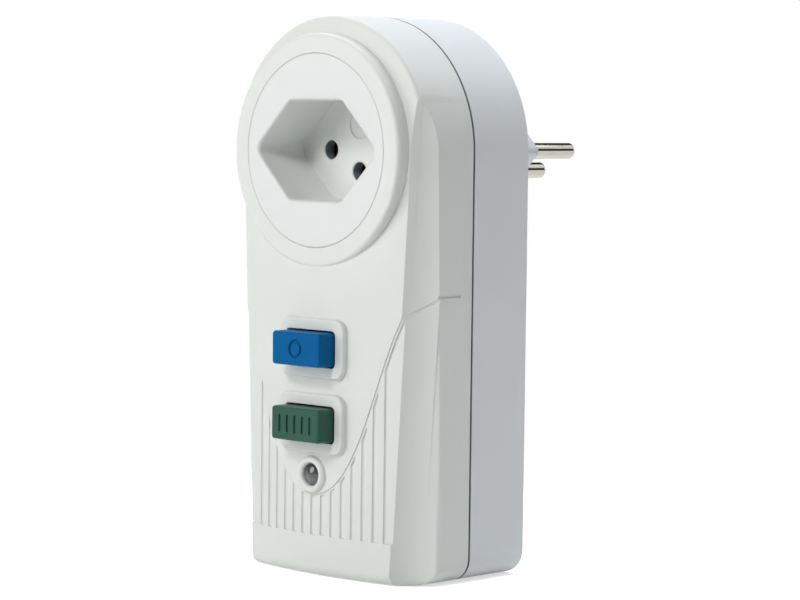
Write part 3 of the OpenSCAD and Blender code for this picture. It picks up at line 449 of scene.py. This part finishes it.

# %% [markdown]
# ## Lamp
#
# The indicator is unlit. Its clear epoxy lens shows the dark cup inside and mirrors the lamps of the
# studio. Real glass with a chip behind it would cost many samples for a spot of a few pixels, so the
# lens is a dark, polished solid whose colour is painted lighter towards its lower side: painted light.

# %% Lamp finish
# Cast epoxy: a dark pool under a polished skin, with one small, sharp light on it.
CLOUD_MM = 1.2
lamp_low, lamp_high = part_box("indicator_lamp")
lens, tree = new_material("epoxy_lens_unlit")
place = add(tree, "ShaderNodeTexCoord").outputs["Object"]
height = add(tree, "ShaderNodeSeparateXYZ", Vector=place).outputs["Z"]
# Painted light: the colour grows lighter towards the lower side, broken up by the cloud.
lower = add(tree, "ShaderNodeMapRange", Value=height, From_Min=lamp_high.z, From_Max=lamp_low.z)
cloud = add(tree, "ShaderNodeTexNoise", Vector=place, Scale=1 / (CLOUD_MM * MM), Detail=2.0)
painted_light = add(tree, "ShaderNodeMath", {"operation": "MULTIPLY"}, _0=lower.outputs["Result"],
            _1=cloud.outputs["Fac"])
tone = add(tree, "ShaderNodeMix", {"data_type": "RGBA"}, Factor=painted_light.outputs[0],
           _6=colour("#24292A"), _7=colour("#7A817F"))
shader = add(tree, "ShaderNodeBsdfPrincipled", Base_Color=tone.outputs[2], Roughness=0.08, IOR=1.55,
             Coat_Weight=0.6, Coat_Roughness=0.03)
add(tree, "ShaderNodeOutputMaterial", Surface=shader.outputs["BSDF"])
finish_with(lens, "indicator_lamp")

# %% [markdown]
# ## Metals
#
# Pins are turned from brass bar and nickel plated, contacts are stamped from rolled strip, and screws,
# springs and yoke are zinc-plated steel. All of them carry fine lines from drawing or rolling, so one
# function stretches noise along the way the metal moved. The lines change colour and roughness a
# little, which breaks up the reflections as on the real parts. They are drawn about ten times coarser
# than real ones, which wouldn't show.

# %% Metal finish
STRETCH = 0.06
ALONG_X, ALONG_Y, ALONG_Z = (STRETCH, 1, 1), (1, STRETCH, 1), (1, 1, STRETCH)


def drawn_metal(name, light, dark, roughness, line_mm, way):
    material, tree = new_material(name)
    place = add(tree, "ShaderNodeTexCoord").outputs["Object"]
    stretched = add(tree, "ShaderNodeMapping", Vector=place, Scale=way)
    lines = add(tree, "ShaderNodeTexNoise", Vector=stretched.outputs["Vector"], Scale=1 / (line_mm * MM),
                Detail=2.0)
    tone = add(tree, "ShaderNodeMix", {"data_type": "RGBA"}, Factor=lines.outputs["Fac"],
               _6=colour(dark), _7=colour(light))
    worn = add(tree, "ShaderNodeMapRange", Value=lines.outputs["Fac"],
               To_Min=roughness - 0.06, To_Max=roughness + 0.08)
    shader = add(tree, "ShaderNodeBsdfPrincipled", Base_Color=tone.outputs[2], Metallic=1.0,
                 Roughness=worn.outputs["Result"])
    add(tree, "ShaderNodeOutputMaterial", Surface=shader.outputs["BSDF"])
    return material


# %% Metal parts
# Bright nickel, slightly warm: it mirrors the room in long light and dark bands.
finish_with(drawn_metal("nickel_plated_turned_brass", "#D4D1C7", "#B8B4A8", 0.11, 0.3, ALONG_Y),
            "pin_line", "pin_neutral", "pin_earth")
# Rolled brass: a dull yellow, with lines along the strip.
finish_with(drawn_metal("rolled_brass_strip", "#8A733F", "#6E5A30", 0.35, 0.4, ALONG_Y),
            "contact_line", "contact_neutral", "contact_earth", "test_leaf")
# Rolled copper: red-brown, with lines along the strip.
finish_with(drawn_metal("rolled_copper_strip", "#B8795A", "#9C6145", 0.32, 0.4, ALONG_Z),
            "moving_contacts", "fixed_contacts")
# Zinc plate: a cool grey with a soft shine.
finish_with(drawn_metal("zinc_plated_steel", "#B4B6B8", "#96999C", 0.34, 0.35, ALONG_X),
            "housing_screws", "retainer_screws", "board_screws", "test_spring", "reset_spring",
            "opening_spring", "plunger_spring", "lamp_leads", "coil_yoke", "trip_plunger")

# %% [markdown]
# ## Springs
#
# Behind each button, behind the contact carrier and on the plunger sits a coil spring. In the CAD model
# they are rigid, so a pressed button would cut through its coil. A simulation could bend the wire, but
# a coil between two seats only gets shorter. Each spring gets a welded copy with its own mesh, which
# rides on the housing in place of the node.

# %% Springs
SPRINGS = {"test_spring": ("test_press", (0, 1, 0), 2.0),
           "reset_spring": ("reset_press", (0, 1, 0), 2.5),
           "opening_spring": ("contacts_close", (0, 1, 0), 2.5),
           "plunger_spring": ("plunger_trip", (-1, 0, 0), 1.5)}
for node, (joint, way, travel_mm) in SPRINGS.items():
    coil = welded_copy(node, node + "_coil")
    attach(coil, "housing")
    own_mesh(coil)
    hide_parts(node)

# %% [markdown]
# ## Test leaf
#
# The stem of the test button presses a brass leaf against a stud on the board. The leaf stands on a foot
# and bends just above it. A copy of it gets more vertices along its height, because a bend can only
# show where there are vertices to move.

# %% Subdivided leaf
LEAF_CUTS = 8
leaf = welded_copy("test_leaf", "test_leaf_strip")
bpy.ops.object.mode_set(mode="EDIT")
bpy.ops.mesh.select_all(action="SELECT")
bpy.ops.mesh.subdivide(number_cuts=LEAF_CUTS)
bpy.ops.object.mode_set(mode="OBJECT")
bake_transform(leaf)
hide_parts("test_leaf")
print(leaf.name, len(leaf.data.vertices), "vertices")

# %% [markdown]
# ## Plastics inside
#
# The parts inside are out of sight, but the model can be opened up, so each gets the finish that such
# a part has: glass-filled grey for the insulators, ivory for the contact carrier, dipped coatings on
# the components and soft PVC on the wires. One plain grey would do for a closed model, but an opened
# one would look like a dummy.

# %% Inner plastics
# Glass-filled nylon: grey and dry looking, because fibres roughen its skin.
finish_with(moulded("glass_filled_nylon_grey", "#73767A", "#65686B", roughness=0.55, grain_mm=0.25,
                    relief_mm=0.02, edge_mm=0.2), "contact_retainer", "mechanism_frame")
# Urea resin: warm ivory with a soft shine.
finish_with(moulded("urea_ivory", "#DBD2B4", "#CFC5A5", roughness=0.40, grain_mm=0.4,
                    relief_mm=0.008, edge_mm=0.2), "contact_carrier")
# Moulded epoxy: a dull black without a clear reflection.
finish_with(moulded("moulded_epoxy_black", "#1B1B1C", "#121213", roughness=0.60, grain_mm=0.2,
                    relief_mm=0.015, edge_mm=0.15), "control_chip")

# %% Dipped components
# Dipped epoxy: glossy and slightly wavy, because the coat ran before it set.
DIPPED = {"roughness": 0.30, "grain_mm": 0.8, "relief_mm": 0.03}
finish_with(moulded("dipped_epoxy_tan", "#C9A566", "#B8944F", edge_mm=0.4, **DIPPED),
            "test_resistor", "capacitor")
finish_with(moulded("dipped_epoxy_blue", "#2C5B94", "#234C80", edge_mm=0.6, **DIPPED), "varistor")

# %% Wire insulation
# Soft PVC: an even colour with a slightly waxy shine.
WAXY = {"roughness": 0.36, "grain_mm": 0.6, "relief_mm": 0.01, "edge_mm": 0.1}
WIRES = {"line_wire": ("pvc_brown", "#5A3520", "#4A2A18"),
         "neutral_wire": ("pvc_blue", "#2450A0", "#1B428C"),
         "earth_wire": ("pvc_green_yellow", "#6E9A24", "#C8B428"),
         "load_wires": ("pvc_grey", "#66686A", "#585A5C")}
for node, (name, light, dark) in WIRES.items():
    finish_with(moulded(name, light, dark, **WAXY), node)

# %% [markdown]
# ## Board, coil and transformer
#
# A circuit board shows its copper tracks as slightly raised, lighter lines under green lacquer. A
# coil is turn beside turn of enamelled wire, and a ring core is wrapped in tape that overlaps itself.
# They could be modelled turn by turn, but at this size the eye sees only stripes, so each takes a wave
# texture whose period is the real pitch: tracks 2.5 mm apart, wire 0.5 mm (drawn coarser than the real
# 0.2 mm) and tape 4 mm wide.

# %% Striped finish
WAVE_AT_SCALE_1 = 0.314159


def striped(name, light, dark, roughness, pitch_mm, height_mm, direction, distortion, metallic=0.0):
    material, tree = new_material(name)
    place = add(tree, "ShaderNodeTexCoord").outputs["Object"]
    wave = add(tree, "ShaderNodeTexWave", {"bands_direction": direction}, Vector=place,
               Scale=WAVE_AT_SCALE_1 / (pitch_mm * MM), Distortion=distortion, Detail=1.0)
    tone = add(tree, "ShaderNodeMix", {"data_type": "RGBA"}, Factor=wave.outputs["Fac"],
               _6=colour(dark), _7=colour(light))
    relief = add(tree, "ShaderNodeBump", Strength=0.6, Distance=height_mm * MM, Height=wave.outputs["Fac"])
    shader = add(tree, "ShaderNodeBsdfPrincipled", Base_Color=tone.outputs[2], Roughness=roughness,
                 Metallic=metallic, Normal=relief.outputs["Normal"])
    add(tree, "ShaderNodeOutputMaterial", Surface=shader.outputs["BSDF"])
    return material


# %% Striped parts
# Lacquer over copper tracks: glossy green with lighter lines in it.
finish_with(striped("solder_resist_green", "#1F6B3C", "#0F4526", roughness=0.30, pitch_mm=2.5,
                    height_mm=0.04, direction="DIAGONAL", distortion=3.0), "circuit_board")
# Enamelled wire: each turn carries its own thin line of light, partly from the bump and partly a painted
# highlight in the colour's stripes.
finish_with(striped("enamelled_winding_wire", "#B5652C", "#7A3E18", roughness=0.28, pitch_mm=0.5,
                    height_mm=0.1, direction="X", distortion=0.3, metallic=0.8), "trip_coil")
# Polyester tape: yellow bands, darker where they overlap.
finish_with(striped("polyester_tape_wrap", "#CDB96A", "#B09A4C", roughness=0.40, pitch_mm=4.0,
                    height_mm=0.06, direction="DIAGONAL", distortion=0.8), "core_transformer")

# %% [markdown]
# ## Floor
#
# The photo's ground is white right up to the object. A white floor alone would come out grey, because
# soft light never reaches every part of it evenly. So the paper also glows a little for rays that come
# from the camera or from a reflection, and further out it fades to pure white. It lights nothing, and
# the soft shadow stays visible.

# %% Floor
PAPER_RADIUS = 2
PAPER_DROP = 0.2 * MM
bpy.ops.object.select_all(action="DESELECT")
bpy.ops.mesh.primitive_circle_add(vertices=64, radius=PAPER_RADIUS, fill_type="NGON",
                                  location=(0, 0, -PAPER_DROP))
floor = bpy.context.active_object
floor.name = "floor"
print("floor", round(floor.dimensions.x, 2), "m across")

# %% Paper
# Paper: matt white with no shine at all.
PAPER_GLOW = 0.55
FADE_START, FADE_END = 70 * MM, 200 * MM
paper, tree = new_material("paper_sweep")
place = add(tree, "ShaderNodeTexCoord").outputs["Object"]
away = add(tree, "ShaderNodeVectorMath", {"operation": "LENGTH"}, _0=place)
far = add(tree, "ShaderNodeMapRange", {"interpolation_type": "SMOOTHSTEP"}, Value=away.outputs["Value"],
          From_Min=FADE_START, From_Max=FADE_END)
ray = add(tree, "ShaderNodeLightPath")
seen = add(tree, "ShaderNodeMath", {"operation": "MAXIMUM"}, _0=ray.outputs["Is Camera Ray"],
           _1=ray.outputs["Is Glossy Ray"])
seen = add(tree, "ShaderNodeMath", {"operation": "MAXIMUM"}, _0=seen.outputs[0],
           _1=ray.outputs["Is Transmission Ray"])
lift = add(tree, "ShaderNodeMath", {"operation": "MULTIPLY"}, _0=seen.outputs[0], _1=PAPER_GLOW)
matt = add(tree, "ShaderNodeBsdfDiffuse", Color=colour("#F6F6F6"))
glow = add(tree, "ShaderNodeEmission", Strength=lift.outputs[0])
near = add(tree, "ShaderNodeAddShader", _0=matt.outputs[0], _1=glow.outputs[0])
white = add(tree, "ShaderNodeEmission", Strength=1.0)
fade = add(tree, "ShaderNodeMath", {"operation": "MULTIPLY"}, _0=seen.outputs[0], _1=far.outputs["Result"])
both = add(tree, "ShaderNodeMixShader", _0=fade.outputs[0], _1=near.outputs[0], _2=white.outputs[0])
add(tree, "ShaderNodeOutputMaterial", Surface=both.outputs[0])
floor.data.materials.append(paper)
print(paper.name, "fades to white", round(FADE_END / MM), "mm out")

# %% [markdown]
# ## Room
#
# The world stands for the studio. The camera sees it as white, and so do reflections of what is behind
# the object, but the side where the photographer stands is dim, as in a real studio. Without that,
# every front face would mirror a white wall and the dark colours would turn grey. Two black cards hang
# out of the picture, as photographers place them to give bright metal its dark bands. They could be
# modelled, but they would take light from the floor, so they are spots in the world that only
# reflections see. Each has a direction, and the angles at which it starts to fade and ends.

# %% World
ROOM_LIGHT = 0.02
DIM_FRONT, FRONT_SIDE, BACK_SIDE = 0.2, -0.5, 0.3
CARD_SHEEN = 0.05
CARDS = {"far_right_card": ((0.68, 0.72, 0.12), 12, 17), "high_back_card": ((-0.29, 0.72, 0.63), 17, 24)}
world = bpy.data.worlds.new("studio")
bpy.context.scene.world = world
world.use_nodes = True
tree = world.node_tree
tree.nodes.clear()
ray = add(tree, "ShaderNodeLightPath")
facing = add(tree, "ShaderNodeTexCoord").outputs["Generated"]
way = add(tree, "ShaderNodeSeparateXYZ", Vector=facing)
behind = add(tree, "ShaderNodeMapRange", Value=way.outputs["Y"], From_Min=FRONT_SIDE, From_Max=BACK_SIDE,
             To_Min=DIM_FRONT, To_Max=1.0)
mirrored = add(tree, "ShaderNodeMath", {"operation": "MULTIPLY"}, _0=ray.outputs["Is Glossy Ray"],
               _1=behind.outputs["Result"])
for card, (towards, inner, outer) in CARDS.items():
    near = add(tree, "ShaderNodeVectorMath", {"operation": "DOT_PRODUCT", "label": card}, _0=facing,
               _1=Vector(towards).normalized())
    bare = add(tree, "ShaderNodeMapRange", Value=near.outputs["Value"], From_Min=cos(radians(inner)),
               From_Max=cos(radians(outer)), To_Min=CARD_SHEEN, To_Max=1.0)
    mirrored = add(tree, "ShaderNodeMath", {"operation": "MULTIPLY"}, _0=mirrored.outputs[0],
                   _1=bare.outputs["Result"])
seen = add(tree, "ShaderNodeMath", {"operation": "MAXIMUM"}, _0=ray.outputs["Is Camera Ray"],
           _1=ray.outputs["Is Transmission Ray"])
seen = add(tree, "ShaderNodeMath", {"operation": "MAXIMUM"}, _0=seen.outputs[0], _1=mirrored.outputs[0])
level = add(tree, "ShaderNodeMath", {"operation": "MAXIMUM"}, _0=seen.outputs[0], _1=ROOM_LIGHT)
sky = add(tree, "ShaderNodeBackground", Color=colour("#FFFFFF"), Strength=level.outputs[0])
add(tree, "ShaderNodeOutputWorld", Surface=sky.outputs[0])
print(world.name, "with", len(CARDS), "dark cards")

# %% [markdown]
# ## Lamps
#
# Round softboxes hang above, behind and in front of the object, and a small weak one low on the right
# stands for light that comes back from the ground. One big lamp would be simpler, but the photo has
# soft, even faces and a clear fall of light towards the side. The powers were found by rendering each
# lamp alone and solving for the mix that gives the photo's brightness on face, scoop, side and arch.

# %% Softboxes
MIDDLE = Vector((0, -10, 65)) * MM


def softbox(name, towards, distance, size, watts, tint):
    data = bpy.data.lights.new(name, "AREA")
    data.shape, data.size, data.energy = "DISK", size, watts
    data.color = colour(tint)[:3]
    lamp = bpy.data.objects.new(name, data)
    bpy.context.scene.collection.objects.link(lamp)
    way = Vector(towards).normalized()
    lamp.location = MIDDLE + way * distance
    lamp.rotation_mode = "QUATERNION"
    lamp.rotation_quaternion = (-way).to_track_quat("-Z", "Y")
    print(name, watts, "W")


softbox("top_light", (-0.4, 0.4, 1), distance=0.6, size=0.5, watts=1.6, tint="#F6F9FF")
softbox("top_back_light", (0.3, 0.5, 1), distance=0.6, size=0.5, watts=1.9, tint="#F3F8FF")
softbox("front_left_light", (-0.6, -1, 0.3), distance=0.9, size=0.5, watts=2.4, tint="#FFFFFF")
softbox("high_front_light", (-0.3, -1, 1), distance=0.9, size=0.2, watts=0.75, tint="#FFFFFF")
softbox("front_light", (0.2, -1, 0.8), distance=0.9, size=0.25, watts=3.1, tint="#FFFFFF")
softbox("low_card", (1, 0.5, -0.3), distance=0.2, size=0.12, watts=0.025, tint="#FFFFFF")

# %% [markdown]
# ## View and sizes
#
# The Standard view shows each colour about as it is written, where a film-like view would turn the
# whites grey. The marks are sunk and the fillets lie in the ribbed field, so the finished object should
# fill exactly the box of the CAD model.

# %% View settings
bpy.context.scene.view_settings.view_transform = "Standard"
print("view", bpy.context.scene.view_settings.view_transform)
